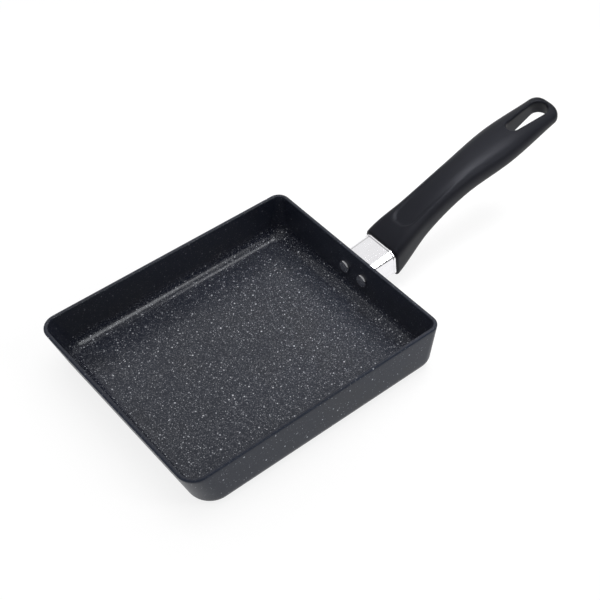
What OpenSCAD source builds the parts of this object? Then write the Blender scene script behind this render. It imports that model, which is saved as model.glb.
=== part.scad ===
// Tamagoyaki pan: a rectangular rolled-omelette pan with a riveted, screwed-on handle.
// Millimetres. Origin: middle of the underside, on the surface it stands on.
// +X runs from the pan to the handle's end, +Z is up.

/* [Pan] */
// Length of the rim along the handle direction
pan_l = 180; // [150:1:210]
// Width of the rim across the handle direction
pan_w = 147.6; // [120:0.1:180]
// Height from the underside to the rim
pan_h = 34.3; // [28:0.1:40]
// Thickness of the walls
wall_t = 2.4; // [1.8:0.1:3.2]
// Thickness of the floor
floor_t = 3.6; // [2.5:0.1:5]
// How far the front wall slopes in from rim to underside
front_in = 11.8; // [8:0.1:20]
// How far each long side wall leans in from rim to underside
side_in = 0.6; // [0.2:0.1:5]
// How far the handle-side wall leans in from rim to underside
back_in = 0.9; // [0.2:0.1:4]
// Corner radius of the rim at the sloped front, seen from above
rim_r_front = 11; // [7:0.5:14]
// Corner radius of the rim at the handle side, seen from above
rim_r_back = 7.5; // [6:0.5:14]
// Rounding of the rim's outer edge
rim_edge_r = 0.9; // [0.4:0.1:1.1]
// Corner radius above the foot's rounding at the sloped front
foot_r_front = 14.5; // [11:0.5:18]
// Corner radius above the foot's rounding at the handle side
foot_r_back = 11; // [10:0.5:16]
// Rounding between wall and underside
foot_fillet = 9.3; // [6:0.1:9.8]
// Rounding between wall and floor inside
floor_fillet = 7.5; // [5:0.1:8]

/* [Underside grooves] */
// Number of shallow rings pressed in the underside
groove_count = 3; // [1:1:4]
// Width of each ring
groove_w = 1.6; // [1:0.1:2.5]
// Depth of each ring
groove_depth = 0.4; // [0.2:0.1:0.8]
// Step from one ring to the next
groove_step = 14; // [8:1:16]
// Distance of the outer ring from the foot's edge
groove_margin = 10; // [6:1:16]

/* [Rivets and bracket] */
// Height of the two rivets above the underside
rivet_z = 19.5; // [18.5:0.1:20.5]
// Distance between the rivets
rivet_gap = 15.8; // [14:0.1:16]
// Diameter of a rivet's shank
rivet_d = 5; // [4:0.1:5.5]
// Diameter of the low domed head inside the pan
rivet_head_d = 8.6; // [7:0.1:9]
// Height of the domed head
rivet_head_h = 1.8; // [1:0.1:2.5]
// Diameter of the closed head behind the bracket
rivet_tail_d = 6; // [5.6:0.1:6.2]
// Height of the closed head
rivet_tail_h = 1.4; // [0.8:0.1:2]
// Thickness of the bracket's plate on the wall
plate_t = 2; // [1.5:0.1:3]
// Width of the tang that runs into the handle
tang_w = 15; // [12:0.5:16]
// Thickness of the tang
tang_t = 3; // [2:0.1:3.5]
// Length of the tang's bent part inside the handle
tang_l = 34; // [30:1:38]
// Angle of the tang's bend above the guard's axis
tang_bend = 20; // [16:1:22]

/* [Flame guard] */
// Upward tilt of the guard and of the handle's mouth
guard_tilt = 7.4; // [5:0.1:10]
// Visible length of the guard between wall and handle
guard_show = 21; // [16:0.5:25]
// Width of the guard at the handle
guard_w = 26; // [24.8:0.1:26.3]
// Height of the guard
guard_h = 19.6; // [18.6:0.1:20.4]
// How much narrower each side is at the pan
guard_flare = 0.9; // [0:0.1:1]
// Width of the bevel along each long edge, at the handle
guard_bevel = 3.2; // [2:0.1:4]
// Width of the same bevel at the pan
guard_bevel_pan = 2.4; // [1.6:0.1:3.6]
// Width of the raised lip in front of the handle
guard_lip_w = 1.8; // [1.2:0.1:2.6]
// Height of that lip
guard_lip_h = 0.5; // [0.4:0.1:0.7]
// Sheet thickness of the guard
guard_t = 1; // [0.6:0.1:1.1]
// How far the guard goes into the handle's mouth
guard_in = 4; // [2:0.5:5]

/* [Handle] */
// Length of the handle from its mouth to its end
handle_l = 145; // [130:0.5:165]
// Width at the mouth
mouth_w = 29; // [28.6:0.1:32]
// Height at the mouth
mouth_h = 23.5; // [23:0.1:26]
// Width at the root, where the mouth's flare ends
root_w = 24; // [23:0.1:27]
// Height at the root
root_h = 19; // [18.6:0.1:21]
// Width at the neck
neck_w = 23.6; // [21.5:0.1:26]
// Height at the neck
neck_h = 17.5; // [16:0.1:20]
// Width at the palm swell
palm_w = 28.5; // [26:0.1:33]
// Height at the palm swell
palm_h = 17.2; // [16:0.1:21]
// Width near the end
tail_w = 24.1; // [22.5:0.1:29]
// Height near the end
tail_h = 11.9; // [10:0.1:16]
// Rise of the root's middle above the mouth's middle
root_rise = 12; // [11:0.1:13]
// Rise of the neck's middle above the mouth's middle
neck_rise = 19.8; // [17:0.1:22]
// Rise of the palm swell above the mouth's middle
palm_rise = 23.2; // [20:0.1:27]
// Rise of the end above the mouth's middle
tail_rise = 25.5; // [21:0.1:30]
// Angle at which the handle climbs away from its mouth
mouth_climb = 25.5; // [20:0.5:29]
// Depth of the thumb rest on top of the neck
thumb_depth = 0.9; // [0:0.1:1.4]
// Rounded length of the handle's end seen from above
end_round = 7; // [5:0.5:12]
// Rounding of the end's upper and lower edge
end_edge = 2; // [1:0.1:4]

/* [Hanging slot] */
// Radius of the slot's narrow end
slot_r_near = 4.3; // [3:0.1:5]
// Radius of the slot's round end
slot_r_far = 6; // [5:0.1:6.5]
// Distance between the centres of the two ends
slot_l = 22.3; // [18:0.1:24]
// Material left between the slot and the handle's end
slot_margin = 3.9; // [3.4:0.1:8]
// Width of the slot's broken edge at the top and bottom face
slot_edge = 1.5; // [0.5:0.1:1.8]

/* [Handle screw] */
// Diameter of the handle screw
screw_d = 4; // [4:0.1:4.5]
// Diameter of the screw's head
screw_head_d = 7.8; // [7.4:0.1:8.2]
// Height of the screw's head
screw_head_h = 2.4; // [2:0.1:2.6]
// Distance of the screw from the tang's end
screw_back = 13; // [11:0.5:15]
// Thickness of the handle wall that the screw clamps
web_t = 2.8; // [2.4:0.1:3]
// Width of the square nut
nut_w = 7.4; // [7:0.1:8]
// Thickness of the square nut
nut_t = 3.2; // [2.5:0.1:3.6]
// Thickness of the flat washer
washer_t = 0.8; // [0.6:0.1:1]
// Thickness of the spring washer
spring_t = 1; // [0.8:0.1:1.1]

/* [Clearances] */
// Gap round a rivet's shank
rivet_clear = 0.05; // [0.02:0.01:0.15]
// Gap between the screw and what it passes through
screw_clear = 0.3; // [0.2:0.05:0.4]
// Gap between the screw and the nut's bore
thread_clear = 0.05; // [0.02:0.01:0.1]
// Gap between the tang and its socket at the sides
socket_clear = 0.4; // [0.2:0.05:0.6]
// Gap between the guard and the handle's pocket
guard_clear = 0.3; // [0.2:0.05:0.5]
// Gap between a washer or head and its counterbore
bore_clear = 0.6; // [0.3:0.1:0.8]

/* [Hidden] */

// smoothness of round parts, and of the shapes that are hulled
round_fn = 64;
hull_fn = 32;
// overshoot of a cut past the face it opens
cut = 1;
// size of a cut that clears everything on one side
big = 120;

// leans of the walls from the vertical
back_lean = atan(back_in / pan_h);
// where the wall's outer face is at the rivets
wall_x = pan_l / 2 - back_in * (1 - rivet_z / pan_h);

// plate on the wall, a little inside the guard's end
plate_w = guard_w - 2 * guard_flare;
plate_h = guard_h;

// the guard and the handle share one tilted axis that starts on the wall
mouth_at = guard_show;
// the tang bends a little before the mouth
bend_early = 2;
bend_at = mouth_at - bend_early;
screw_at = tang_l - screw_back;

// the tang: bend on a small radius, narrow root that passes between the rivets' closed heads
tang_bend_r = 3;
bend_steps = 6;
tang_root_w = rivet_gap - rivet_tail_d - 2 * bore_clear;
shoulder_at = plate_t + rivet_tail_h + bore_clear;

// stations of the handle, as distances from its mouth
root_at = 0.2 * handle_l;
neck_at = 0.42 * handle_l;
palm_at = 0.68 * handle_l;
tail_at = 0.93 * handle_l;
stations = [0, root_at, neck_at, palm_at, tail_at];
station_w = [mouth_w, root_w, neck_w, palm_w, tail_w];
station_h = [mouth_h, root_h, neck_h, palm_h, tail_h];
station_rise = [0, root_rise, neck_rise, palm_rise, tail_rise];
// squareness of the section: 2 is an ellipse, larger is boxier
station_square = [5, 3.4, 2.7, 2.5, 2.7];

// rings along the handle and points round each ring
body_rings = 34;
end_rings = 9;
ring_points = 40;

// thumb rest: where it starts and ends, and how much of the width it takes
thumb_from = 0.09 * handle_l;
thumb_full = 0.16 * handle_l;
thumb_to = 0.5 * handle_l;
thumb_share = 0.72;

// where the slot's two ends are, and how the handle climbs between them
slot_far_x = handle_l - slot_margin - slot_r_far;
slot_near_x = slot_far_x - slot_l;

// the fillet inside the pan can't be larger than the corners that it runs round
floor_r = min(floor_fillet, foot_r_front - wall_t, foot_r_back - wall_t);

// screw stack, measured square to the tang's bent part
washer_d = screw_head_d + 1;
// the spring washer is a little smaller than the screw's head, and split
spring_d = screw_head_d - 0.4;
spring_gap = 0.6;
bore_d = washer_d + bore_clear;
stack_t = washer_t + spring_t;

// inset of a fillet of radius r, its centre at height z, on a wall that leans in by lean_in
function inset_at(lean_in, z, r, inside = 0) =
    lean_in * (1 - z / pan_h) + (inside + r) / cos(atan(lean_in / pan_h)) - r;

// slope at station i of the curve through (xs, ys)
function slope(xs, ys, i, first) =
    i == 0 ? first
    : i == len(xs) - 1 ? (ys[i] - ys[i - 1]) / (xs[i] - xs[i - 1])
    : (ys[i + 1] - ys[i - 1]) / (xs[i + 1] - xs[i - 1]);

// piece of the curve that holds x
function span(xs, x, i = 0) = i >= len(xs) - 2 || x < xs[i + 1] ? i : span(xs, x, i + 1);

// smooth curve through the stations
function curve(xs, ys, x, first = 0) =
    let (i = span(xs, x), h = xs[i + 1] - xs[i], t = (x - xs[i]) / h)
    (1 + 2 * t) * pow(1 - t, 2) * ys[i]
    + t * pow(1 - t, 2) * h * slope(xs, ys, i, first)
    + t * t * (3 - 2 * t) * ys[i + 1]
    + t * t * (t - 1) * h * slope(xs, ys, i + 1, first);

// 0 below a, 1 above b, smooth between
function ramp(a, b, x) =
    let (t = min(1, max(0, (x - a) / (b - a))))
    t * t * (3 - 2 * t);

// how far the end's rounding has drawn the section in, 1 is full size
function end_share(x, length, power) =
    let (t = max(0, (x - (handle_l - length)) / length))
    pow(max(0, 1 - pow(t, power)), 1 / power);

function handle_rise(x) = curve(stations, station_rise, x, tan(mouth_climb));
function handle_w(x) = curve(stations, station_w, x) * end_share(x, end_round, 2.3);
function handle_h(x) = curve(stations, station_h, x) * end_share(x, end_edge, 2);

// depth of the thumb rest at x and at a sideways share u of the width
function thumb(x, u) =
    thumb_depth * ramp(thumb_from, thumb_full, x) * (1 - ramp(thumb_full, thumb_to, x))
    * (1 - ramp(0.55, 1, abs(u) / thumb_share));

// signed power, for the section
function spow(v, p) = sign(v) * pow(abs(v), p);

// one ring of the handle
function ring(x) =
    let (w = handle_w(x) / 2, h = handle_h(x) / 2, rise = handle_rise(x),
         p = 2 / curve(stations, station_square, x))
    [for (i = [0:ring_points - 1])
        let (a = 360 * (i + 0.5) / ring_points, u = spow(cos(a), p), v = spow(sin(a), p))
        [x, w * u, rise + h * v - (v > 0 ? thumb(x, u) : 0)]];

// ring positions: even along the body, closing up over the rounded end
ring_at = concat(
    [for (i = [0:body_rings - 1]) (handle_l - end_round) * i / body_rings],
    [for (i = [0:end_rings - 1]) handle_l - end_round + end_round * sin(85 * i / (end_rings - 1))]);

// closed skin through a list of rings with the same number of points
module skin(rings) {
    n = len(rings[0]);
    m = len(rings);
    near = [[for (i = [0:n - 1]) i]];
    far = [[for (i = [n - 1:-1:0]) (m - 1) * n + i]];
    sides = [for (j = [0:m - 2], i = [0:n - 1], half = [0, 1])
        half == 0
        ? [j * n + i, (j + 1) * n + (i + 1) % n, j * n + (i + 1) % n]
        : [j * n + i, (j + 1) * n + i, (j + 1) * n + (i + 1) % n]];
    polyhedron([for (r = rings, p = r) p], concat(near, far, sides));
}

// rounded rectangle centred on the origin
module rounded_rect(l, w, r) {
    square([l - 2 * r, w], center = true);
    square([l, w - 2 * r], center = true);
    for (x = [-1, 1], y = [-1, 1])
        translate([x * (l / 2 - r), y * (w / 2 - r)])
            circle(r, $fn = round_fn);
}

// rectangle with its corners cut at 45 degrees, centred
module bevelled_rect(w, h, bevel) {
    a = w / 2;
    b = h / 2;
    polygon([[a - bevel, -b], [a, bevel - b], [a, b - bevel], [a - bevel, b],
             [bevel - a, b], [-a, b - bevel], [-a, bevel - b], [bevel - a, -b]]);
}

// ring of tube radius r at each corner of the pan's plan, its centre at height z;
// front_r and back_r are the rings' outer radii at the front and at the handle side
module corner_rings(front_r, back_r, z, r, inside = 0) {
    front_x = inset_at(front_in, z, r, inside) + front_r - pan_l / 2;
    back_x = pan_l / 2 - inset_at(back_in, z, r, inside) - back_r;
    side_y = pan_w / 2 - inset_at(side_in, z, r, inside);
    for (corner = [[front_x, front_r], [back_x, back_r]], side = [-1, 1])
        translate([corner[0], side * (side_y - corner[1]), z])
            rotate_extrude($fn = hull_fn)
                intersection() {
                    translate([corner[1] - r, 0])
                        circle(r, $fn = hull_fn);
                    translate([0, -r])
                        square([corner[1], 2 * r]);
                }
}

// solid form of the pan's outside
module pan_outside() {
    hull() {
        corner_rings(foot_r_front, foot_r_back, foot_fillet, foot_fillet);
        corner_rings(rim_r_front, rim_r_back, pan_h - rim_edge_r, rim_edge_r);
    }
}

// the space that holds the food, open past the rim
module pan_inside() {
    hull() {
        corner_rings(foot_r_front - wall_t, foot_r_back - wall_t, floor_t + floor_r, floor_r,
                     wall_t);
        corner_rings(rim_r_front - wall_t, rim_r_back - wall_t, pan_h + rim_edge_r, rim_edge_r,
                     wall_t);
    }
}

// shallow rings pressed in the underside
module underside_grooves() {
    front = inset_at(front_in, foot_fillet, foot_fillet) + foot_fillet;
    back = inset_at(back_in, foot_fillet, foot_fillet) + foot_fillet;
    side = inset_at(side_in, foot_fillet, foot_fillet) + foot_fillet;
    flat_l = pan_l - front - back;
    flat_w = pan_w - 2 * side;
    for (i = [0:groove_count - 1]) {
        inset = groove_margin + i * groove_step;
        l = flat_l - 2 * inset;
        w = flat_w - 2 * inset;
        r = foot_r_front - groove_w;
        translate([(front - back) / 2, 0, -cut])
            linear_extrude(groove_depth + cut)
                difference() {
                    rounded_rect(l, w, r);
                    rounded_rect(l - 2 * groove_w, w - 2 * groove_w, r - groove_w);
                }
    }
}

// frame of the wall at the rivets: local x points out of the wall
module on_wall() {
    translate([wall_x, 0, rivet_z])
        rotate([0, back_lean, 0])
            children();
}

// frame of the guard and handle: local x runs along their axis
module on_axis() {
    translate([wall_x, 0, rivet_z])
        rotate([0, -guard_tilt, 0])
            children();
}

// frame of the tang's bent part: local x runs along it from the bend
module on_tang() {
    on_axis()
        translate([bend_at, 0, 0])
            rotate([0, -tang_bend, 0])
                children();
}

// frame of the handle screw: local z runs up along it, from the tang's lower face
module on_screw() {
    on_tang()
        translate([screw_at, 0, -tang_t / 2])
            children();
}

// round bar along local x from a to b
module bar_x(d, a, b) {
    translate([a, 0, 0])
        rotate([0, 90, 0])
            cylinder(d = d, h = b - a, $fn = round_fn);
}

// low dome of diameter d and height h, standing on z = 0
module dome(d, h) {
    r = (d * d / 4 + h * h) / (2 * h);
    intersection() {
        translate([0, 0, h - r])
            sphere(r, $fn = round_fn);
        cylinder(d = d, h = h + cut, $fn = round_fn);
    }
}

module pan_shell() {
    color("#2b2d33")
        difference() {
            pan_outside();
            pan_inside();
            underside_grooves();
            on_wall()
                for (side = [-1, 1])
                    translate([0, side * rivet_gap / 2, 0])
                        bar_x(rivet_d + 2 * rivet_clear, -wall_t - cut, cut);
        }
}

// one rivet: domed head inside, shank through wall and plate, closed head outside
module rivet(side) {
    color("#1c1d20")
        on_wall()
            translate([0, side * rivet_gap / 2, 0]) {
                translate([-wall_t, 0, 0])
                    rotate([0, -90, 0])
                        dome(rivet_head_d, rivet_head_h);
                bar_x(rivet_d, -wall_t, plate_t);
                bar_x(rivet_tail_d, plate_t, plate_t + rivet_tail_h);
            }
}

module rivet_left() {
    rivet(1);
}

module rivet_right() {
    rivet(-1);
}

// side outline of the tang: straight out from the wall, then bent up into the handle
module tang_side(from) {
    middle_r = tang_bend_r + tang_t / 2;
    arc_x = bend_at - middle_r * tan(tang_bend / 2);
    tip = [bend_at + tang_l * cos(tang_bend), tang_l * sin(tang_bend)];
    half = tang_t / 2 * [-sin(tang_bend), cos(tang_bend)];
    angles = [for (i = [0:bend_steps]) tang_bend * i / bend_steps];
    lower = [for (a = angles)
        [arc_x, middle_r] + (middle_r + tang_t / 2) * [sin(a), -cos(a)]];
    upper = [for (i = [bend_steps:-1:0])
        [arc_x, middle_r] + (middle_r - tang_t / 2) * [sin(angles[i]), -cos(angles[i])]];
    polygon(concat([[from, -tang_t / 2]], lower, [tip - half, tip + half], upper,
                   [[from, tang_t / 2]]));
}

// outline of the tang from above: a narrow root between the rivets, then its full width
module tang_plan() {
    root = tang_root_w / 2;
    wide = tang_w / 2 + cut;
    far = bend_at + tang_l + cut;
    polygon([[0, -root], [shoulder_at, -root], [shoulder_at + wide - root, -wide], [far, -wide],
             [far, wide], [shoulder_at + wide - root, wide], [shoulder_at, root], [0, root]]);
}

// plate riveted to the wall, with a tang that bends up into the handle
module handle_bracket() {
    color("#a9adb2")
        difference() {
            union() {
                on_wall()
                    rotate([90, 0, 90])
                        linear_extrude(plate_t)
                            rounded_rect(plate_w, plate_h, guard_bevel);
                on_axis()
                    intersection() {
                        translate([0, tang_w / 2, 0])
                            rotate([90, 0, 0])
                                linear_extrude(tang_w)
                                    tang_side(plate_t / 2);
                        translate([0, 0, -big / 2])
                            linear_extrude(big)
                                tang_plan();
                    }
            }
            on_wall()
                for (side = [-1, 1])
                    translate([0, side * rivet_gap / 2, 0])
                        bar_x(rivet_d + 2 * rivet_clear, -cut, plate_t + cut);
            on_screw()
                translate([0, 0, -cut])
                    cylinder(d = screw_d + 2 * screw_clear, h = tang_t + 2 * cut, $fn = round_fn);
        }
}

// square nut welded on top of the tang
module tang_nut() {
    color("#8d9196")
        on_screw()
            translate([0, 0, tang_t])
                difference() {
                    translate([-nut_w / 2, -nut_w / 2, 0])
                        cube([nut_w, nut_w, nut_t]);
                    translate([0, 0, -cut])
                        cylinder(d = screw_d + 2 * thread_clear, h = nut_t + 2 * cut, $fn = round_fn);
                }
}

// the guard's section at x along the axis, drawn in by inset
function guard_ring(x, inset) =
    let (t = 1 - x / (guard_show + guard_in),
         a = guard_w / 2 - guard_flare * t - inset,
         b = guard_h / 2 - inset,
         bevel = guard_bevel + (guard_bevel_pan - guard_bevel) * t - (2 - sqrt(2)) * inset)
    [[x, a, bevel - b], [x, a, b - bevel], [x, a - bevel, b], [x, bevel - a, b],
     [x, -a, b - bevel], [x, -a, bevel - b], [x, bevel - a, -b], [x, a - bevel, -b]];

// sheet sleeve with a raised lip that seats on the handle's mouth
module flame_guard() {
    end = guard_show + guard_in;
    color("#e3e5e8")
        difference() {
            on_axis()
                difference() {
                    skin([guard_ring(-plate_t, 0),
                          guard_ring(guard_show - guard_lip_w, 0),
                          guard_ring(guard_show - guard_lip_w + guard_lip_h, -guard_lip_h),
                          guard_ring(guard_show, -guard_lip_h),
                          guard_ring(guard_show, 0),
                          guard_ring(end, 0)]);
                    skin([guard_ring(-2 * plate_t, guard_t), guard_ring(end + guard_t, guard_t)]);
                }
            on_wall()
                translate([plate_t - big, -big / 2, -big / 2])
                    cube([big, big, big]);
        }
}

// through slot for hanging, a teardrop with its round end near the handle's end
module hanging_slot() {
    lean = asin((slot_r_far - slot_r_near) / slot_l);
    climb = handle_rise(slot_far_x) - handle_rise(slot_near_x);
    translate([slot_near_x, 0, handle_rise(slot_near_x)])
        rotate([0, -atan(climb / slot_l), 0]) {
            translate([0, 0, -big / 4])
                linear_extrude(big / 2) {
                    circle(slot_r_near, $fn = round_fn);
                    translate([slot_l, 0])
                        circle(slot_r_far, $fn = round_fn);
                    polygon([[-slot_r_near * sin(lean), slot_r_near * cos(lean)],
                             [-slot_r_near * sin(lean), -slot_r_near * cos(lean)],
                             [slot_l - slot_r_far * sin(lean), -slot_r_far * cos(lean)],
                             [slot_l - slot_r_far * sin(lean), slot_r_far * cos(lean)]]);
                }
            slot_flare();
            mirror([0, 0, 1])
                slot_flare();
        }
}

// the slot's broken edge at the handle's top face, in the slot's own frame
module slot_flare() {
    hull()
        for (end = [[0, slot_r_near, slot_near_x], [slot_l, slot_r_far, slot_far_x]])
            translate([end[0], 0, handle_h(end[2]) / 2 - slot_edge])
                cylinder(r1 = end[1], r2 = end[1] + slot_edge + cut, h = slot_edge + cut,
                         $fn = round_fn);
}

// pocket in the mouth that takes the guard
module guard_pocket() {
    translate([-cut, 0, 0])
        rotate([90, 0, 90])
            linear_extrude(guard_in + cut)
                bevelled_rect(guard_w + 2 * guard_clear, guard_h + 2 * guard_clear,
                              guard_bevel);
}

// socket for the tang and its nut, open at the mouth
module tang_socket() {
    w = tang_w + 2 * socket_clear;
    start = -bend_early - tang_t;
    on_tang()
        translate([start, -w / 2, -tang_t / 2])
            cube([tang_l + socket_clear - start, w, tang_t + nut_t + socket_clear]);
}

// counterbore and clearance hole for the handle screw, from below
module screw_bore() {
    on_screw() {
        translate([0, 0, -web_t - cut])
            cylinder(d = screw_d + 2 * screw_clear, h = web_t + 2 * cut, $fn = round_fn);
        translate([0, 0, -web_t - big / 4])
            cylinder(d = bore_d, h = big / 4, $fn = round_fn);
    }
}

module handle_grip() {
    color("#1a1b1e")
        difference() {
            on_axis()
                translate([mouth_at, 0, 0])
                    difference() {
                        skin([for (x = ring_at) ring(x)]);
                        hanging_slot();
                        guard_pocket();
                    }
            tang_socket();
            screw_bore();
        }
}

module handle_screw() {
    color("#b4b7bb")
        on_screw() {
            shank = web_t + stack_t + tang_t + nut_t;
            translate([0, 0, -web_t - stack_t])
                cylinder(d = screw_d, h = shank, $fn = round_fn);
            translate([0, 0, -web_t - stack_t - screw_head_h])
                difference() {
                    cylinder(d = screw_head_d, h = screw_head_h, $fn = round_fn);
                    for (a = [0, 90])
                        rotate([0, 0, a])
                            translate([-screw_d / 2, -screw_d / 10, -cut])
                                cube([screw_d, screw_d / 5, screw_head_h / 2 + cut]);
                }
        }
}

// flat ring round the screw between two heights below the web
module screw_ring(d, from, t) {
    on_screw()
        translate([0, 0, -web_t - from - t])
            difference() {
                cylinder(d = d, h = t, $fn = round_fn);
                translate([0, 0, -cut])
                    cylinder(d = screw_d + 2 * screw_clear, h = t + 2 * cut, $fn = round_fn);
            }
}

module flat_washer() {
    color("#c4c7ca")
        screw_ring(washer_d, 0, washer_t);
}

// split spring washer between the flat washer and the screw's head
module spring_washer() {
    color("#7e8287")
        difference() {
            screw_ring(spring_d, washer_t, spring_t);
            on_screw()
                translate([0, 0, -web_t - washer_t - spring_t / 2])
                    rotate([0, 0, 30])
                        rotate([20, 0, 0])
                            translate([0, -spring_gap / 2, -spring_t])
                                cube([spring_d, spring_gap, 2 * spring_t]);
        }
}

pan_shell();
rivet_left();
rivet_right();
handle_bracket();
tang_nut();
flame_guard();
handle_grip();
handle_screw();
spring_washer();
flat_washer();
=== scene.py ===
import math

import bmesh
import bpy
from mathutils import Matrix, Vector


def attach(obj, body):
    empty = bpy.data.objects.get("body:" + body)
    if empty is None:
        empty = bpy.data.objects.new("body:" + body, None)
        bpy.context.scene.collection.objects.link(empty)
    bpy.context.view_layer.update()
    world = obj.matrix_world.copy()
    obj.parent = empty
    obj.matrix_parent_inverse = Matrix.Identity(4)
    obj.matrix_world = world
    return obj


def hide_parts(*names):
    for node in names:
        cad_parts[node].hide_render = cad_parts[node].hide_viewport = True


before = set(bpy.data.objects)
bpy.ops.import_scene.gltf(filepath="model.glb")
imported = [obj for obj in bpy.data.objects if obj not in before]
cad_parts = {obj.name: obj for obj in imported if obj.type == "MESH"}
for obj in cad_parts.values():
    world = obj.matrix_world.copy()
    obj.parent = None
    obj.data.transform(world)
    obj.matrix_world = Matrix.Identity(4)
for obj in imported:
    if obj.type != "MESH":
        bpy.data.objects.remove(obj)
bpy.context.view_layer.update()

MM = 0.001

# lengths are in millimetres and angles in degrees, unless a comment says otherwise

# the pan; pairs of radii are for the front and the handle side
PAN_L = 180.0
PAN_W = 147.6
PAN_H = 34.3
WALL_T = 2.4
FLOOR_T = 3.6
FRONT_IN = 11.8  # how far the front wall leans in from the rim to the base
SIDE_IN = 0.6
BACK_IN = 0.9
RIM_R = (11.0, 7.5)
FOOT_R = (14.5, 11.0)  # corners at the top of the foot's rounding
BASE_R = (7.0, 9.0)  # corners of the surface it stands on
FLOOR_R = (6.5, 6.0)  # corners of the cavity's floor
RIM_EDGE_R = 0.9
RIM_INNER_R = 0.5
FOOT_FILLET = 9.3
FLOOR_FILLET = 7.5
MIN_CORNER_R = 1.5
FLOOR_RINGS = (2.0, 8.0, 20.0, 40.0)  # mesh rings over the floor, from its edge
CORNER_STEPS = 14
SIDE_POINTS = 10

# pressed rings in the underside
GROOVES = 3
GROOVE_W = 1.6
GROOVE_DEPTH = 0.4
GROOVE_STEP = 14.0
GROOVE_MARGIN = 10.0
GROOVE_WALL = 0.3  # run of a groove's side
GROOVE_BREAK = (0.25, 0.1)  # run and height of its broken edge
BASE_FIRST = 3.0  # first mesh ring, from the base's edge
BASE_LAST = 6.0  # last one, beyond the inner groove

# rivets
RIVET_Z = 19.5
RIVET_GAP = 15.8
RIVET_HEAD_R = 4.3
RIVET_HEAD_H = 1.8
RIVET_FACE_R = 3.3
RIVET_FACE_DROP = 0.35
RIVET_LOW_SHARE = 0.25  # height left at the head's edge, as a share of its shoulder
RIVET_SHANK_R = 2.5
RIVET_TAIL_R = 3.0
RIVET_TAIL_H = 1.4
RIVET_SHARP = 40  # sharper edges aren't smoothed
PLATE_T = 2.0  # the bracket's plate

# guard
GUARD_TILT = 7.4
GUARD_SHOW = 21.0  # what shows between the wall and the handle
GUARD_IN = 4.0  # what is inside the handle
GUARD_W = 26.0
GUARD_H = 19.6
GUARD_T = 1.0
GUARD_FLARE = 0.9
GUARD_BEVEL = 3.2
GUARD_BEVEL_PAN = 2.4
GUARD_CORNER_R = 3.6
GUARD_LIP_W = 1.8
GUARD_LIP_H = 0.5
GUARD_LIP_POWER = 3  # 2 is a round lip, more is squarer
GUARD_CLEAR = 0.3  # gap to the handle's pocket
GUARD_FIRST = 6.0  # first mesh ring that is square to the axis
GUARD_STEP = 3.0
GUARD_CORNER_STEPS = 5
GUARD_SHARP = 50

# the handle, along its own axis from its mouth
HANDLE_L = 145.0
MOUTH_CLIMB = 25.5
STATIONS = [0.0, 0.2 * HANDLE_L, 0.42 * HANDLE_L, 0.68 * HANDLE_L, 0.93 * HANDLE_L]
STATION_W = [29.0, 24.0, 23.6, 28.5, 24.1]
STATION_H = [23.5, 19.0, 17.5, 17.2, 11.9]
STATION_RISE = [0.0, 12.0, 19.8, 23.2, 25.5]
STATION_SQUARE = [5.0, 3.4, 2.7, 2.5, 2.7]  # 2 is an ellipse, more is boxier
MOUTH_EDGE = 1.0
END_ROUND = 7.0
END_ROUND_POWER = 2.3
END_EDGE = 3.0
END_EDGE_POWER = 2
THUMB_DEPTH = 1.25
THUMB_START = 12.5
THUMB_R = 8.5
THUMB_STEP = 2.4
THUMB_END = 0.5 * HANDLE_L
POCKET_REACH = 5.0  # how far the tool of the guard's pocket stands out
GRIP_POINTS = 96
GRIP_VOXEL = 0.45
GRIP_SMOOTHING = 4
GRIP_SHARP = 50

# the hanging slot, and the screw's bore in the handle
SLOT_R_NEAR = 4.3
SLOT_R_FAR = 6.0
SLOT_L = 22.3
SLOT_MARGIN = 3.9
SLOT_EDGE = 1.5
SLOT_FLARE = [(2 * SLOT_EDGE, -6.0), (1.15 * SLOT_EDGE, -0.05)]  # growth, and depth below the face
SCREW_AT = 21.0
BORE_D = 9.4
BORE_REACH = 40.0
WEB_T = 2.8  # left between the bore and the tang
TANG_BEND = 20.0
TANG_T = 3.0
BEND_EARLY = 2.0

BACK_LEAN = math.atan(BACK_IN / PAN_H)
WALL_X = PAN_L / 2 - BACK_IN * (1 - RIVET_Z / PAN_H)
SLOT_FAR_X = HANDLE_L - SLOT_MARGIN - SLOT_R_FAR
SLOT_NEAR_X = SLOT_FAR_X - SLOT_L

# camera, from fitting the photographed pan
LENS_PX = 1299.74  # focal length in pixels of the photograph
FRAME_PX = 600.0
SENSOR_W = 36
CLIP = (0.01, 50)  # in metres
CAM_HEADING = 50.085
CAM_PITCH = 46.607
CAM_ROLL = 0.431
CAM_DISTANCE = 757.185
CAM_TARGET = (39.701, -6.292, 33.0)

# floor in metres, and sky; heights are the upward part of a direction of length 1
FLOOR_SIZE = 30
FLOOR_GAP = 0.0002
FLOOR_PAINT = 0.8
FLOOR_GLOW = 1.09
GLOW_SHARE = 0.75
SKY_LEVEL = 0.5
SKY_HEIGHT = 0.45  # above it the sky has SKY_LEVEL
DARK_SIDE = (0.2, -0.98, 0.0)
DARK_LEVEL = 0.3
DARK_HEIGHT = 0.1  # above it the dark side is fully dark
DARK_EDGE = (0.35, 0.8)  # cosines at which the dark side starts and is full

# coating of the pan's inside; its heights are above the pan's floor
POOL_RISE = 0.4  # up to here the pooled coating sets in
POOL_FADE = (5.0, 9.0)  # between these it ends
# painted shade: the specks fade with height up the walls, so the less lit walls look darker
SHADE_FADE_FROM = 0.5  # up to here the specks have their full strength
SHADE_FADE_TO = 10.0
SHADE_FADE_SHARE = 0.2  # what is left of them above SHADE_FADE_TO
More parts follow.
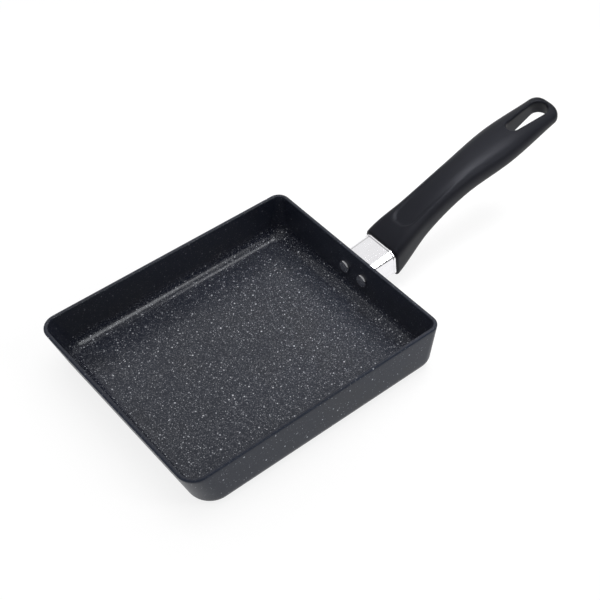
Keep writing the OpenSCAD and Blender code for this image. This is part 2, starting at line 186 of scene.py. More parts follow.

# patterns: scales per metre, and the levels of the noise between which each one acts
CLOUD_SCALE = 18.0
CLOUD_SPAN = (0.35, 0.65)
WARM_SCALE = 34.0
WARM_SPAN = (0.5, 0.72)
WARM_SHARE = 0.45
WARM_TINT = (1.35, 1.12, 0.8)
GRAIN_SCALE = 1500.0
GRAIN_SPAN = (0.5, 0.74)
DOT_SOFTNESS = (1.2, 0.7)  # a dot starts and is full at these shares of its radius
COAT_BUMP_SCALE = 2600.0
COAT_BUMP = 0.12
METAL_SPAN = (0.25, 0.75)
METAL_COLOURS = (0.94, 1.05)  # darkest and lightest, as shares of the metal's colour
METAL_ROUGHNESS = (0.8, 1.25)
RESIN_SCALE = 60.0
RESIN_SPAN = (0.2, 0.8)
RESIN_COLOURS = (0.85, 1.15)
RESIN_ROUGHNESS = (0.92, 1.08)
RESIN_BUMP_SCALE = 2200.0
RESIN_BUMP = 0.1
BUMP_DEPTH = 0.0001  # in metres

# layers of specks: cells per metre, radius in millimetres, share of the cells that have a speck,
# and the strength of the faintest and the strongest speck
SLATE_SPECKS = [(182, 0.48, 0.9, 0.25, 0.9), (330, 0.34, 0.6, 0.05, 0.5), (600, 0.3, 0.6, 0.02, 0.2)]
INSIDE_SPECKS = [(182, 0.52, 0.95, 0.4, 1.0), (330, 0.37, 0.8, 0.25, 1.0), (600, 0.3, 0.8, 0.1, 0.7),
                 (1000, 0.28, 0.7, 0.03, 0.36)]


# meshes

def add_mesh(name, verts, faces, smooth=True):
    """A mesh object from millimetre points, its faces turned outwards."""
    mesh = bpy.data.meshes.new(name)
    mesh.from_pydata([(x * MM, y * MM, z * MM) for x, y, z in verts], [], faces)
    mesh.validate()
    bm = bmesh.new()
    bm.from_mesh(mesh)
    bmesh.ops.recalc_face_normals(bm, faces=bm.faces)
    bm.to_mesh(mesh)
    bm.free()
    mesh.polygons.foreach_set("use_smooth", [smooth] * len(mesh.polygons))
    mesh.update()
    obj = bpy.data.objects.new(name, mesh)
    bpy.context.scene.collection.objects.link(obj)
    return obj


def apply_modifiers(obj):
    """Replaces the mesh by what its modifiers make of it."""
    depsgraph = bpy.context.evaluated_depsgraph_get()
    mesh = bpy.data.meshes.new_from_object(obj.evaluated_get(depsgraph))
    obj.modifiers.clear()
    obj.data = mesh


def cut(obj, tool):
    """Cuts the tool's solid out of the object and removes the tool."""
    modifier = obj.modifiers.new("cut", "BOOLEAN")
    modifier.operation = "DIFFERENCE"
    modifier.solver = "EXACT"
    modifier.object = tool
    apply_modifiers(obj)
    bpy.data.objects.remove(tool)


def bridge(rings, closed_ends=True):
    """Vertices and faces of a skin through rings with equal numbers of points."""
    n = len(rings[0])
    verts = [p for ring in rings for p in ring]
    faces = [(j * n + i, j * n + (i + 1) % n, (j + 1) * n + (i + 1) % n, (j + 1) * n + i)
             for j in range(len(rings) - 1) for i in range(n)]
    if closed_ends:
        faces.append(tuple(range(n - 1, -1, -1)))
        faces.append(tuple(range((len(rings) - 1) * n, len(rings) * n)))
    else:
        last = (len(rings) - 1) * n
        faces += [(last + i, last + (i + 1) % n, (i + 1) % n, i) for i in range(n)]
    return verts, faces


# the pan's shell

def wall_inset(lean_in, z, foot_z, foot_r, inside=0.0):
    """Inset of a wall's face at height z, with the rounding at its foot."""
    lean = math.atan(lean_in / PAN_H)
    if z >= foot_z + foot_r * (1 - math.sin(lean)):
        return lean_in * (1 - z / PAN_H) + inside / math.cos(lean)
    centre_z = foot_z + foot_r
    centre = lean_in * (1 - centre_z / PAN_H) + (inside + foot_r) / math.cos(lean)
    return centre - math.sqrt(max(0.0, foot_r ** 2 - (centre_z - z) ** 2))


def pan_ring(insets, radii, z):
    """A rounded rectangle at height z: insets from the rim's front, back and sides."""
    front, back, side = insets
    x0, x1 = front - PAN_L / 2, PAN_L / 2 - back
    y1 = PAN_W / 2 - side
    front_r, back_r = radii
    corners = [(x1 - back_r, y1 - back_r, 0, back_r), (x0 + front_r, y1 - front_r, 90, front_r),
               (x0 + front_r, front_r - y1, 180, front_r), (x1 - back_r, back_r - y1, 270, back_r)]
    ring = []
    for k, (cx, cy, start, r) in enumerate(corners):
        for i in range(CORNER_STEPS + 1):
            a = math.radians(start + 90 * i / CORNER_STEPS)
            ring.append((cx + r * math.cos(a), cy + r * math.sin(a), z))
        next_x, next_y, next_start, next_r = corners[(k + 1) % 4]
        a = math.radians(next_start)
        end = (next_x + next_r * math.cos(a), next_y + next_r * math.sin(a))
        last = ring[-1]
        for i in range(1, SIDE_POINTS + 1):
            t = i / (SIDE_POINTS + 1)
            ring.append((last[0] + (end[0] - last[0]) * t, last[1] + (end[1] - last[1]) * t, z))
    return ring


def section_at(z, foot_z, fillet, low_radii, inside=0.0):
    """Insets and corner radii at height z of the outside or, with inside, of the cavity."""
    insets = [wall_inset(lean, z, foot_z, fillet, inside) for lean in (FRONT_IN, BACK_IN, SIDE_IN)]
    down = (foot_z + fillet - z) / fillet
    if down > 0:
        share = math.sqrt(max(0.0, 1 - down ** 2))
        radii = [low + (foot - inside - low) * share for low, foot in zip(low_radii, FOOT_R)]
    else:
        share = (z - foot_z - fillet) / (PAN_H - foot_z - fillet)
        radii = [foot - inside + (rim - foot) * share for foot, rim in zip(FOOT_R, RIM_R)]
    return insets, radii


def outer_section(z):
    """Insets and corner radii of the outside at height z."""
    return section_at(z, 0.0, FOOT_FILLET, BASE_R)


def inner_section(z):
    """Insets and corner radii of the cavity at height z."""
    return section_at(z, FLOOR_T, FLOOR_FILLET, FLOOR_R, WALL_T)


def drawn_in(at, by):
    """A section of the pan drawn in by a distance on every side."""
    insets, radii = at
    return [i + by for i in insets], [max(MIN_CORNER_R, r - by) for r in radii]


def underside_rings():
    """Rings over the pressed rings of the underside, from the middle outwards."""
    base = outer_section(0.0)
    run, rise = GROOVE_BREAK
    steps = [(BASE_FIRST, 0.0)]
    for k in range(GROOVES):
        start = GROOVE_MARGIN + k * GROOVE_STEP
        end = start + GROOVE_W
        steps += [(start - run, 0.0), (start, rise), (start + GROOVE_WALL, GROOVE_DEPTH),
                  (end - GROOVE_WALL, GROOVE_DEPTH), (end, rise), (end + run, 0.0)]
    steps.append((steps[-1][0] + BASE_LAST, 0.0))
    return [pan_ring(*drawn_in(base, by), up) for by, up in reversed(steps)]


def outside_rings():
    """Rings up the outside, round the foot and over the rim's outer edge."""
    rings = []
    foot_steps = 12
    for i in range(foot_steps + 1):
        z = FOOT_FILLET * (1 - math.cos(math.radians(90 * i / foot_steps)))
        rings.append(pan_ring(*outer_section(z), z))
    top = PAN_H - RIM_EDGE_R
    for share in (0.25, 0.5, 0.75, 0.92):
        z = FOOT_FILLET + (top - FOOT_FILLET) * share
        rings.append(pan_ring(*outer_section(z), z))
    edge = outer_section(top)
    for angle in range(0, 91, 15):
        a = math.radians(angle)
        rings.append(pan_ring(*drawn_in(edge, RIM_EDGE_R * (1 - math.cos(a))),
                              top + RIM_EDGE_R * math.sin(a)))
    return rings


def inside_rings():
    """Rings from the rim's inner edge down the walls and over the floor."""
    rings = []
    low = PAN_H - RIM_INNER_R
    inner = inner_section(low)
    for angle in range(90, -1, -18):
        a = math.radians(angle)
        rings.append(pan_ring(*drawn_in(inner, -RIM_INNER_R * (1 - math.cos(a))),
                              low + RIM_INNER_R * math.sin(a)))
    foot = FLOOR_T + FLOOR_FILLET
    for share in (0.92, 0.7, 0.5, 0.3, 0.1):
        z = foot + (low - foot) * share
        rings.append(pan_ring(*inner_section(z), z))
    fillet_steps = 14
    for i in range(fillet_steps + 1):
        z = foot - FLOOR_FILLET * math.sin(math.radians(90 * i / fillet_steps))
        rings.append(pan_ring(*inner_section(z), z))
    floor = inner_section(FLOOR_T)
    rings += [pan_ring(*drawn_in(floor, by), FLOOR_T) for by in FLOOR_RINGS]
    return rings


def make_pan(outside_material, inside_material):
    """The pan: one closed skin, its inside in a material of its own."""
    outer = underside_rings() + outside_rings()
    verts, faces = bridge(outer + inside_rings())
    pan = add_mesh("pan_body", verts, faces)
    pan.data.materials.append(outside_material)
    pan.data.materials.append(inside_material)
    n = len(outer[0])
    first_inside = (len(outer) - 1) * n  # the rim's last outer ring
    for face in pan.data.polygons:
        if min(face.vertices) >= first_inside:
            face.material_index = 1
    return pan


# frames on the handle's side

def axis_matrix():
    """From the guard's own frame, x along its axis, to the object's frame, in metres."""
    return (Matrix.Translation((WALL_X * MM, 0, RIVET_Z * MM))
            @ Matrix.Rotation(-math.radians(GUARD_TILT), 4, "Y"))


def handle_matrix():
    """The same for the handle, whose frame starts at its mouth."""
    return axis_matrix() @ Matrix.Translation((GUARD_SHOW * MM, 0, 0))


def wall_matrix():
    """From the wall's frame at the rivets, x pointing outwards, to the object's frame."""
    return (Matrix.Translation((WALL_X * MM, 0, RIVET_Z * MM))
            @ Matrix.Rotation(BACK_LEAN, 4, "Y"))


# rivets

def make_rivet(name, side):
    """Rivet turned round its axis: flat domed head inside, shank, closed head outside."""
    steps, around = 8, 64
    edge_r = RIVET_HEAD_R - RIVET_FACE_R
    shoulder = RIVET_HEAD_H - RIVET_FACE_DROP
    back = -WALL_T - PLATE_T
    profile = [(RIVET_FACE_R * k / steps, RIVET_HEAD_H - RIVET_FACE_DROP * (k / steps) ** 2)
               for k in range(1, steps + 1)]
    for k in range(1, steps + 1):
        a = math.radians(90 * k / steps)
        share = RIVET_LOW_SHARE + (1 - RIVET_LOW_SHARE) * math.cos(a)
        profile.append((RIVET_FACE_R + edge_r * math.sin(a), shoulder * share))
    profile += [(RIVET_HEAD_R, 0.0), (RIVET_SHANK_R, 0.0), (RIVET_SHANK_R, back),
                (RIVET_TAIL_R, back), (RIVET_TAIL_R, back - RIVET_TAIL_H)]
    turns = [2 * math.pi * i / around for i in range(around)]
    rings = [[(-WALL_T - up, r * math.cos(turn), r * math.sin(turn)) for turn in turns] for r, up in profile]
    rivet = add_mesh(name, *bridge(rings))
    rivet.data.transform(wall_matrix() @ Matrix.Translation((0, side * RIVET_GAP / 2 * MM, 0)))
    rivet.data.set_sharp_from_angle(angle=math.radians(RIVET_SHARP))
    return rivet


# the guard

def rounded_octagon(a, b, bevel, r):
    """A rectangle of half width a and half height b with 45 degree bevels and rounded corners."""
    points = [(a, bevel - b), (a, b - bevel), (a - bevel, b), (bevel - a, b),
              (-a, b - bevel), (-a, bevel - b), (bevel - a, -b), (a - bevel, -b)]
    turn = math.radians(45)
    back = r * math.tan(turn / 2)
    outline = []
    for k, point in enumerate(points):
        here = Vector(point)
        arrive = (here - Vector(points[k - 1])).normalized()
        centre = here - arrive * back + Vector((-arrive.y, arrive.x)) * r
        start = math.atan2(-arrive.x, arrive.y)
        for i in range(GUARD_CORNER_STEPS + 1):
            angle = start + turn * i / GUARD_CORNER_STEPS
            outline.append((centre.x + r * math.cos(angle), centre.y + r * math.sin(angle)))
    return outline


def guard_section(x, raised):
    """The guard's section at x: raised is the lip's height, or minus the sheet for its inside."""
    t = 1 - x / (GUARD_SHOW + GUARD_IN)
    bevel = GUARD_BEVEL + (GUARD_BEVEL_PAN - GUARD_BEVEL) * t + (2 - math.sqrt(2)) * raised
    return rounded_octagon(GUARD_W / 2 - GUARD_FLARE * t + raised, GUARD_H / 2 + raised,
                           bevel, GUARD_CORNER_R + raised)


def make_guard():
    """Sheet sleeve that starts on the bracket's plate and ends inside the handle's mouth."""
    tilt = math.radians(GUARD_TILT) + BACK_LEAN

    def start_x(z):
        return (PLATE_T + z * math.sin(tilt)) / math.cos(tilt)

    lip_mid = GUARD_SHOW - GUARD_LIP_W / 2
    stations = [(GUARD_FIRST + GUARD_STEP * k, 0.0) for k in range(5)]
    for angle in range(0, 181, 15):
        u = -math.cos(math.radians(angle))
        lip = (1 - abs(u) ** GUARD_LIP_POWER) ** (1 / GUARD_LIP_POWER)
        stations.append((lip_mid + GUARD_LIP_W / 2 * u, GUARD_LIP_H * lip))
    stations.append((GUARD_SHOW + GUARD_IN, 0.0))
    outside = [[(x, y, z) for y, z in guard_section(x, raised)] for x, raised in stations]
    inside = [[(x, y, z) for y, z in guard_section(x, -GUARD_T)]
              for x in (GUARD_SHOW + GUARD_IN, GUARD_SHOW, GUARD_FIRST)]
    first = [(start_x(z), y, z) for y, z in guard_section(PLATE_T, 0.0)]
    last = [(start_x(z), y, z) for y, z in guard_section(PLATE_T, -GUARD_T)]
    guard = add_mesh("guard_body", *bridge([first] + outside + inside + [last], closed_ends=False))
    guard.data.transform(axis_matrix())
    guard.data.set_sharp_from_angle(angle=math.radians(GUARD_SHARP))
    return guard


# the handle

def spline(ys, x, first=0.0):
    """Smooth curve through the handle's stations."""
    xs = STATIONS
    last = len(xs) - 1
    i = max(k for k in range(last) if k == 0 or x >= xs[k])

    def slope(k):
        if k == 0:
            return first
        if k == last:
            return (ys[k] - ys[k - 1]) / (xs[k] - xs[k - 1])
        return (ys[k + 1] - ys[k - 1]) / (xs[k + 1] - xs[k - 1])

    h = xs[i + 1] - xs[i]
    t = (x - xs[i]) / h
    return ((1 + 2 * t) * (1 - t) ** 2 * ys[i] + t * (1 - t) ** 2 * h * slope(i)
            + t * t * (3 - 2 * t) * ys[i + 1] + t * t * (t - 1) * h * slope(i + 1))


def ramp(a, b, x):
    """0 below a, 1 above b, smooth between."""
    t = min(1.0, max(0.0, (x - a) / (b - a)))
    return t * t * (3 - 2 * t)


def end_share(x, length, power):
    """How far the end's rounding has drawn the section in, 1 is full size."""
    t = max(0.0, (x - (HANDLE_L - length)) / length)
    return max(0.0, 1 - t ** power) ** (1 / power)


def handle_rise(x):
    """Height of the handle's middle line at x."""
    return spline(STATION_RISE, x, math.tan(math.radians(MOUTH_CLIMB)))


def thumb(x, y):
    """Depth of the thumb rest: a trough with a round near end that fades away from the pan."""
    centre = THUMB_START + THUMB_R
    d = math.hypot(min(0.0, x - centre), y)
    return (THUMB_DEPTH * (1 - ramp(THUMB_R - THUMB_STEP, THUMB_R, d))
            * (1 - ramp(centre, THUMB_END, x)))


def half_sizes(x):
    """Half width, half height and section power of the handle at x."""
    return (spline(STATION_W, x) / 2 * end_share(x, END_ROUND, END_ROUND_POWER),
            spline(STATION_H, x) / 2 * end_share(x, END_EDGE, END_EDGE_POWER),
            spline(STATION_SQUARE, x))


def grip_ring(x, draw=0.0):
    """The handle's section at x, drawn in by a distance."""
    w, h, square = half_sizes(x)
    w, h = w - draw, h - draw
    rise = handle_rise(x)
    ring = []
    for i in range(GRIP_POINTS):
        a = 2 * math.pi * (i + 0.5) / GRIP_POINTS
        u = math.copysign(abs(math.cos(a)) ** (2 / square), math.cos(a))
        v = math.copysign(abs(math.sin(a)) ** (2 / square), math.sin(a))
        dip = thumb(x, w * u) if v > 0 else 0.0
        ring.append((x, w * u, rise + h * v - dip))
    return ring


def prism(name, outline, z0, z1):
    """A closed prism from an outline in the xy plane."""
    return add_mesh(name, *bridge([[(x, y, z) for x, y in outline] for z in (z0, z1)]), smooth=False)


def slot_outline():
    """Points of the hanging slot seen from above, each with its outward direction."""
    lean = math.degrees(math.asin((SLOT_R_FAR - SLOT_R_NEAR) / SLOT_L))
    steps = 32
    outline = []
    for centre, r, start, sweep in ((SLOT_FAR_X, SLOT_R_FAR, -90 - lean, 180 + 2 * lean),
                                    (SLOT_NEAR_X, SLOT_R_NEAR, 90 + lean, 180 - 2 * lean)):
        for i in range(steps + 1):
            a = math.radians(start + sweep * i / steps)
            outline.append((centre + r * math.cos(a), r * math.sin(a), math.cos(a), math.sin(a)))
    return outline


def slot_tool():
    """The slot's solid, opening in a rounded flare where it meets the handle's two faces."""
    flare = list(SLOT_FLARE)
    for angle in (80, 65, 50, 35, 20, 8, 0):
        a = math.radians(angle)
        flare.append((SLOT_EDGE * (1 - math.cos(a)), SLOT_EDGE * (1 - math.sin(a))))
    climb = (handle_rise(SLOT_FAR_X) - handle_rise(SLOT_NEAR_X)) / SLOT_L
    rings = []
    for side, steps in ((1, flare), (-1, list(reversed(flare)))):
        for grow, depth in steps:
            ring = []
            for x, y, nx, ny in slot_outline():
                w, h, square = half_sizes(x)
                up = side * (h * (1 - (abs(y) / w) ** square) ** (1 / square) - depth)
                ring.append((x + nx * grow - climb * up, y + ny * grow, handle_rise(x) + up))
            rings.append(ring)
    return add_mesh("slot_tool", *bridge(rings))


def bevelled_rect(w, h, bevel):
    """Outline of a rectangle with 45 degree bevels."""
    a, b = w / 2, h / 2
    return [(a - bevel, -b), (a, bevel - b), (a, b - bevel), (a - bevel, b),
            (bevel - a, b), (-a, b - bevel), (-a, bevel - b), (bevel - a, -b)]


def bore_tool():
    """Counterbore for the handle screw, square to the tang's bent part."""
    circle = [(BORE_D / 2 * math.cos(math.radians(a)), BORE_D / 2 * math.sin(math.radians(a)))
              for a in range(0, 360, 6)]
    bore = prism("bore_tool", circle, -BORE_REACH, -WEB_T)
    bore.data.transform(axis_matrix() @ Matrix.Translation(((GUARD_SHOW - BEND_EARLY) * MM, 0, 0))
                        @ Matrix.Rotation(-math.radians(TANG_BEND), 4, "Y")
                        @ Matrix.Translation((SCREW_AT * MM, 0, -TANG_T / 2 * MM)))
    return bore


def make_grip():
    """The handle: a loft through its stations, with slot, guard pocket and screw bore."""
    rings = []
    for angle in range(0, 90, 20):
        a = math.radians(angle)
        rings.append(grip_ring(MOUTH_EDGE * (1 - math.cos(a)), MOUTH_EDGE * (1 - math.sin(a))))
    body_end = HANDLE_L - END_ROUND
    body_steps, end_steps, last_angle = 150, 24, 88
    rings += [grip_ring(MOUTH_EDGE + (body_end - MOUTH_EDGE) * i / body_steps) for i in range(body_steps)]
    rings += [grip_ring(body_end + END_ROUND * math.sin(math.radians(last_angle * i / end_steps)))
              for i in range(end_steps + 1)]
    grip = add_mesh("grip_body", *bridge(rings))
    cut(grip, slot_tool())
    remesh = grip.modifiers.new("remesh", "REMESH")
    remesh.mode = "VOXEL"
    remesh.voxel_size = GRIP_VOXEL * MM
    smooth = grip.modifiers.new("smooth", "SMOOTH")
    smooth.iterations = GRIP_SMOOTHING
    apply_modifiers(grip)
    pocket = prism("pocket_tool",
                   bevelled_rect(GUARD_H + 2 * GUARD_CLEAR, GUARD_W + 2 * GUARD_CLEAR, GUARD_BEVEL),
                   -POCKET_REACH, GUARD_IN)
    pocket.data.transform(Matrix.Rotation(math.radians(90), 4, "Y"))
    cut(grip, pocket)
    grip.data.transform(handle_matrix())
    cut(grip, bore_tool())
    grip.data.polygons.foreach_set("use_smooth", [True] * len(grip.data.polygons))
    grip.data.set_sharp_from_angle(angle=math.radians(GRIP_SHARP))
    return grip


# materials

def put(tree, kind, inputs=None, **settings):
    """Adds a shader node; an input that is given an output is linked to it."""
    node = tree.nodes.new(kind)
    for key, value in settings.items():
        setattr(node, key, value)
    for key, value in (inputs or {}).items():
        if isinstance(value, bpy.types.NodeSocket):
            tree.links.new(value, node.inputs[key])
        else:
            node.inputs[key].default_value = value
    return node


def math_node(tree, operation, a, b):
    """Result of a calculation with two values."""
    return put(tree, "ShaderNodeMath", {0: a, 1: b}, operation=operation).outputs[0]


def mix(tree, factor, a, b):
    """Colour between a and b."""
    a, b = [value if isinstance(value, bpy.types.NodeSocket) else (*value, 1) for value in (a, b)]
    return put(tree, "ShaderNodeMix", {0: factor, 6: a, 7: b}, data_type="RGBA").outputs[2]


def mapped(tree, value, from_min, from_max, to_min=0.0, to_max=1.0):
    """A value carried from one range to another, and held at its ends."""
    return put(tree, "ShaderNodeMapRange", {"Value": value, "From Min": from_min, "From Max": from_max,
                                            "To Min": to_min, "To Max": to_max}).outputs[0]


def noise(tree, coord, scale, detail=4.0):
    """Soft noise about 0.5."""
    return put(tree, "ShaderNodeTexNoise",
               {"Vector": coord, "Scale": scale, "Detail": detail}).outputs["Fac"]


def new_material(name, **settings):
    """A material with a Principled shader and object coordinates."""
    material = bpy.data.materials.new(name)
    material.use_nodes = True
    tree = material.node_tree
    tree.nodes.clear()
    shader = put(tree, "ShaderNodeBsdfPrincipled", settings)
    put(tree, "ShaderNodeOutputMaterial", {"Surface": shader.outputs["BSDF"]})
    coord = put(tree, "ShaderNodeTexCoord").outputs["Object"]
    return material, tree, shader, coord


def add_bump(tree, shader, height, strength):
    """Makes a surface uneven by a pattern of heights."""
    bump = put(tree, "ShaderNodeBump", {"Height": height, "Strength": strength, "Distance": BUMP_DEPTH})
    tree.links.new(bump.outputs["Normal"], shader.inputs["Normal"])


def add_variation(tree, shader, pattern, colour, colours, roughness, roughnesses, span):
    """Lets a pattern vary a shader's colour and roughness between shares of their own values."""
    dark, light = [[min(1, c * share) for c in colour] for share in colours]
    tree.links.new(mix(tree, pattern, dark, light), shader.inputs["Base Color"])
    smoother, rougher = [roughness * share for share in roughnesses]
    tree.links.new(mapped(tree, pattern, *span, smoother, rougher), shader.inputs["Roughness"])


def gloss(shine, tint):
    """Settings of a shader for the strength and the colour of its shine."""
    return {"Specular IOR Level": shine, "Specular Tint": (*tint, 1.0)}


def dots(tree, coord, per_metre, radius, share, low, high):
    """Strength of scattered round dots, radius in millimetres, each dot between low and high."""
    cells = put(tree, "ShaderNodeTexVoronoi", {"Vector": coord, "Scale": per_metre})
    edge = radius * MM * per_metre
    faded, full = DOT_SOFTNESS
    inside = mapped(tree, cells.outputs["Distance"], edge * faded, edge * full)
    random = put(tree, "ShaderNodeSeparateColor", {"Color": cells.outputs["Color"]})
    chosen = math_node(tree, "LESS_THAN", random.outputs[0], share)
    strength = mapped(tree, random.outputs[1], 0.0, 1.0, low, high)
    return math_node(tree, "MULTIPLY", inside, math_node(tree, "MULTIPLY", chosen, strength))


def coating(name, base, roughness, layers, speck, haze, grain, shine, tint, corner=None):
    """Dark coating with layers of light specks over a fine grain.

    corner is given for the pan's inside: its roughness where the coating pooled at the foot of a wall,
    above which the specks fade as painted shade that darkens the walls.
    """
    material, tree, shader, coord = new_material(name, Roughness=roughness, **gloss(shine, tint))
    painted_wall_shade = None
    if corner:
        up = put(tree, "ShaderNodeSeparateXYZ", {0: coord}).outputs[2]
        pooled = math_node(tree, "MULTIPLY", mapped(tree, up, FLOOR_T * MM, (FLOOR_T + POOL_RISE) * MM),
                           mapped(tree, up, (FLOOR_T + POOL_FADE[1]) * MM, (FLOOR_T + POOL_FADE[0]) * MM))
        tree.links.new(mapped(tree, pooled, 0.0, 1.0, roughness, corner), shader.inputs["Roughness"])
        # painted shade: specks fade with height up the walls to darken them where less light falls
        painted_wall_shade = mapped(tree, up, (FLOOR_T + SHADE_FADE_TO) * MM, (FLOOR_T + SHADE_FADE_FROM) * MM,
                           SHADE_FADE_SHARE, 1.0)
    cloud = noise(tree, coord, CLOUD_SCALE, 3.0)
    colour = mix(tree, mapped(tree, cloud, *CLOUD_SPAN), [c * (1 - haze) for c in base],
                 [c * (1 + haze) for c in base])
    warm = noise(tree, coord, WARM_SCALE, 2.0)
    colour = mix(tree, mapped(tree, warm, *WARM_SPAN, 0.0, WARM_SHARE), colour,
                 [c * share for c, share in zip(base, WARM_TINT)])
    strength = mapped(tree, noise(tree, coord, GRAIN_SCALE, 1.0), *GRAIN_SPAN, 0.0, grain)
    for layer in layers:
        strength = math_node(tree, "MAXIMUM", strength, dots(tree, coord, *layer))
    if painted_wall_shade:
        strength = math_node(tree, "MULTIPLY", strength, painted_wall_shade)
    colour = mix(tree, strength, colour, speck)
    tree.links.new(colour, shader.inputs["Base Color"])
    add_bump(tree, shader, noise(tree, coord, COAT_BUMP_SCALE, 2.0), COAT_BUMP)
    return material


def metal(name, colour, roughness, scale, bump, stretch=(1, 1, 1)):
    """Bare metal with uneven polish; a stretch below 1 draws the unevenness out along that axis."""
    material, tree, shader, coord = new_material(name, Metallic=1.0)
    grain_at = put(tree, "ShaderNodeMapping", {"Vector": coord, "Scale": stretch}).outputs[0]
    grain = noise(tree, grain_at, scale)
    add_variation(tree, shader, grain, colour, METAL_COLOURS, roughness, METAL_ROUGHNESS, METAL_SPAN)
    add_bump(tree, shader, grain, bump)
    return material


def resin(name, colour, roughness, shine, tint):
    """Satin moulded resin."""
    material, tree, shader, coord = new_material(name, **gloss(shine, tint))
    cloud = noise(tree, coord, RESIN_SCALE)
    add_variation(tree, shader, cloud, colour, RESIN_COLOURS, roughness, RESIN_ROUGHNESS, RESIN_SPAN)
    add_bump(tree, shader, noise(tree, coord, RESIN_BUMP_SCALE, 2.0), RESIN_BUMP)
    return material


# camera, light and floor

def make_camera():
    """The camera, at its distance from the target and turned by heading, pitch and roll."""
    heading, pitch, roll = [math.radians(a) for a in (CAM_HEADING, CAM_PITCH, CAM_ROLL)]
    ahead = Vector((math.cos(heading) * math.cos(pitch), math.sin(heading) * math.cos(pitch),
                    -math.sin(pitch)))
    level_right = Vector((math.sin(heading), -math.cos(heading), 0))
    level_up = level_right.cross(ahead)
    right = level_right * math.cos(roll) + level_up * math.sin(roll)
    up = level_up * math.cos(roll) - level_right * math.sin(roll)
    data = bpy.data.cameras.new("camera")
    data.sensor_fit = "HORIZONTAL"
    data.sensor_width = SENSOR_W
    data.lens = SENSOR_W * LENS_PX / FRAME_PX
    data.clip_start, data.clip_end = CLIP
    camera = bpy.data.objects.new("camera", data)
    place = (Vector(CAM_TARGET) - ahead * CAM_DISTANCE) * MM
    turn = Matrix((right, up, -ahead)).transposed().to_4x4()
    camera.matrix_world = Matrix.Translation(place) @ turn
    bpy.context.scene.collection.objects.link(camera)
    bpy.context.scene.camera = camera


def softbox(name, target, heading, climb, distance, size, level, spread=180.0, reflected=True):
    """Area lamp seen from target at a heading and a climb in degrees, of a given brightness."""
    a, b = math.radians(heading), math.radians(climb)
    away = Vector((math.cos(a) * math.cos(b), math.sin(a) * math.cos(b), math.sin(b)))
    data = bpy.data.lights.new(name, "AREA")
    data.shape = "RECTANGLE"
    data.size, data.size_y = size
    data.energy = math.pi * level * size[0] * size[1]
    data.spread = math.radians(spread)
    light = bpy.data.objects.new(name, data)
    light.location = Vector(target) + away * distance
    light.rotation_euler = (-away).to_track_quat("-Z", "Y").to_euler()
    light.visible_camera = False
    light.visible_glossy = reflected
    bpy.context.scene.collection.objects.link(light)


def make_floor():
    """White table that keeps the shadow; to the eye and in reflections it is lit up to white."""
    bpy.ops.mesh.primitive_plane_add(size=FLOOR_SIZE, location=(0, 0, -FLOOR_GAP))
    floor = bpy.context.object
    floor.name = "floor"
    material = bpy.data.materials.new("floor")
    material.use_nodes = True
    tree = material.node_tree
    tree.nodes.clear()
    paint = put(tree, "ShaderNodeBsdfDiffuse", {"Color": (FLOOR_PAINT, FLOOR_PAINT, FLOOR_PAINT, 1)})
    glow = put(tree, "ShaderNodeEmission", {"Strength": FLOOR_GLOW})
    path = put(tree, "ShaderNodeLightPath")
    seen = math_node(tree, "MAXIMUM", path.outputs["Is Camera Ray"],
                     math_node(tree, "MAXIMUM", path.outputs["Is Glossy Ray"],
                               path.outputs["Is Transmission Ray"]))
    both = put(tree, "ShaderNodeMixShader", {0: math_node(tree, "MULTIPLY", seen, GLOW_SHARE),
                                             1: paint.outputs[0], 2: glow.outputs[0]})
    put(tree, "ShaderNodeOutputMaterial", {"Surface": both.outputs[0]})
    floor.data.materials.append(material)


def make_world():
    """Studio round the table: white at the horizon, dimmer above, dark on the handle's right."""
    world = bpy.data.worlds.new("world")
    world.use_nodes = True
    tree = world.node_tree
    tree.nodes.clear()
    direction = put(tree, "ShaderNodeTexCoord").outputs["Generated"]
    up = put(tree, "ShaderNodeSeparateXYZ", {0: direction}).outputs[2]
    sky = mapped(tree, up, 0.0, SKY_HEIGHT, 1.0, SKY_LEVEL)
    side = put(tree, "ShaderNodeVectorMath", {0: direction, 1: DARK_SIDE}, operation="DOT_PRODUCT")
    dark = math_node(tree, "MULTIPLY", mapped(tree, side.outputs["Value"], *DARK_EDGE),
                     mapped(tree, up, 0.0, DARK_HEIGHT))
    level = math_node(tree, "MULTIPLY", sky, mapped(tree, dark, 0.0, 1.0, 1.0, DARK_LEVEL))
    background = put(tree, "ShaderNodeBackground", {"Color": (1, 1, 1, 1), "Strength": level})
    put(tree, "ShaderNodeOutputWorld", {"Surface": background.outputs[0]})
    bpy.context.scene.world = world


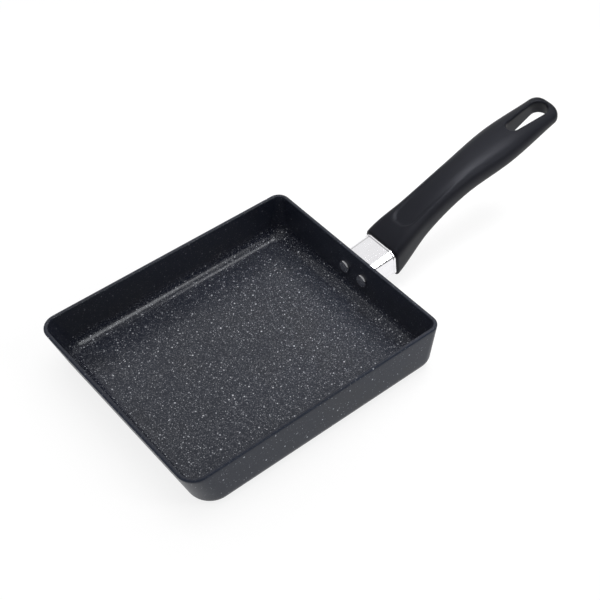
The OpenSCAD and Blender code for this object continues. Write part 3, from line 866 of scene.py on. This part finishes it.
make_camera()
make_floor()
make_world()
softbox("back_softbox", target=(0, 0, 0), heading=52, climb=48, distance=1.6, size=(1.6, 0.72), level=0.44)
softbox("key_softbox", target=(0, 0.07, 0), heading=-65, climb=41, distance=1.5, size=(0.2, 0.72), level=7.5)
softbox("top_softbox", target=(0.2, 0, 0.06), heading=0, climb=85, distance=0.35, size=(0.18, 0.13),
        level=1.25, spread=50.0)
softbox("fill_softbox", target=(0, 0, 0), heading=230, climb=88, distance=1.8, size=(1.4, 1.4),
        level=2.4, reflected=False)

slate = coating("slate", base=(0.0118, 0.0152, 0.0265), roughness=0.38, layers=SLATE_SPECKS,
                speck=(0.72, 0.76, 0.84), haze=0.05, grain=0.02, shine=0.2, tint=(0.87, 0.92, 1.0))
speckled = coating("speckled", base=(0.0082, 0.0104, 0.0195), roughness=0.3, layers=INSIDE_SPECKS,
                   speck=(0.74, 0.76, 0.82), haze=0.12, grain=0.1, shine=0.43, tint=(0.95, 0.97, 1.0),
                   corner=0.22)
satin = resin("satin_resin", (0.0074, 0.0078, 0.0108), roughness=0.42, shine=0.18, tint=(0.88, 0.9, 1.0))
polished = metal("polished", (0.87, 0.865, 0.885), roughness=0.15, scale=300, bump=0.02, stretch=(0.15, 1, 1))
rivet_metal = metal("rivet_metal", (0.56, 0.56, 0.58), roughness=0.09, scale=700, bump=0.02)
steel = metal("bracket_steel", (0.6, 0.61, 0.63), roughness=0.35, scale=900, bump=0.2)
zinc = metal("zinc", (0.66, 0.67, 0.69), roughness=0.3, scale=1500, bump=0.15)

dressing = [
    (make_pan(slate, speckled), "pan_shell", "speckled_coating", None),
    (make_rivet("rivet_head_left", 1), "rivet_left", "rivet_metal", rivet_metal),
    (make_rivet("rivet_head_right", -1), "rivet_right", "rivet_metal", rivet_metal),
    (make_guard(), "flame_guard", "polished_guard", polished),
    (make_grip(), "handle_grip", "grip_resin", satin),
]
for piece, node, slot, material in dressing:
    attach(piece, "root")
    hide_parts(node)
    if material:
        piece.data.materials.append(material)

for name, material in (("handle_bracket", steel), ("tang_nut", steel), ("handle_screw", zinc),
                       ("spring_washer", zinc), ("flat_washer", zinc)):
    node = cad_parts[name]
    node.data.materials.clear()
    node.data.materials.append(material)

bpy.context.scene.view_settings.view_transform = "Standard"
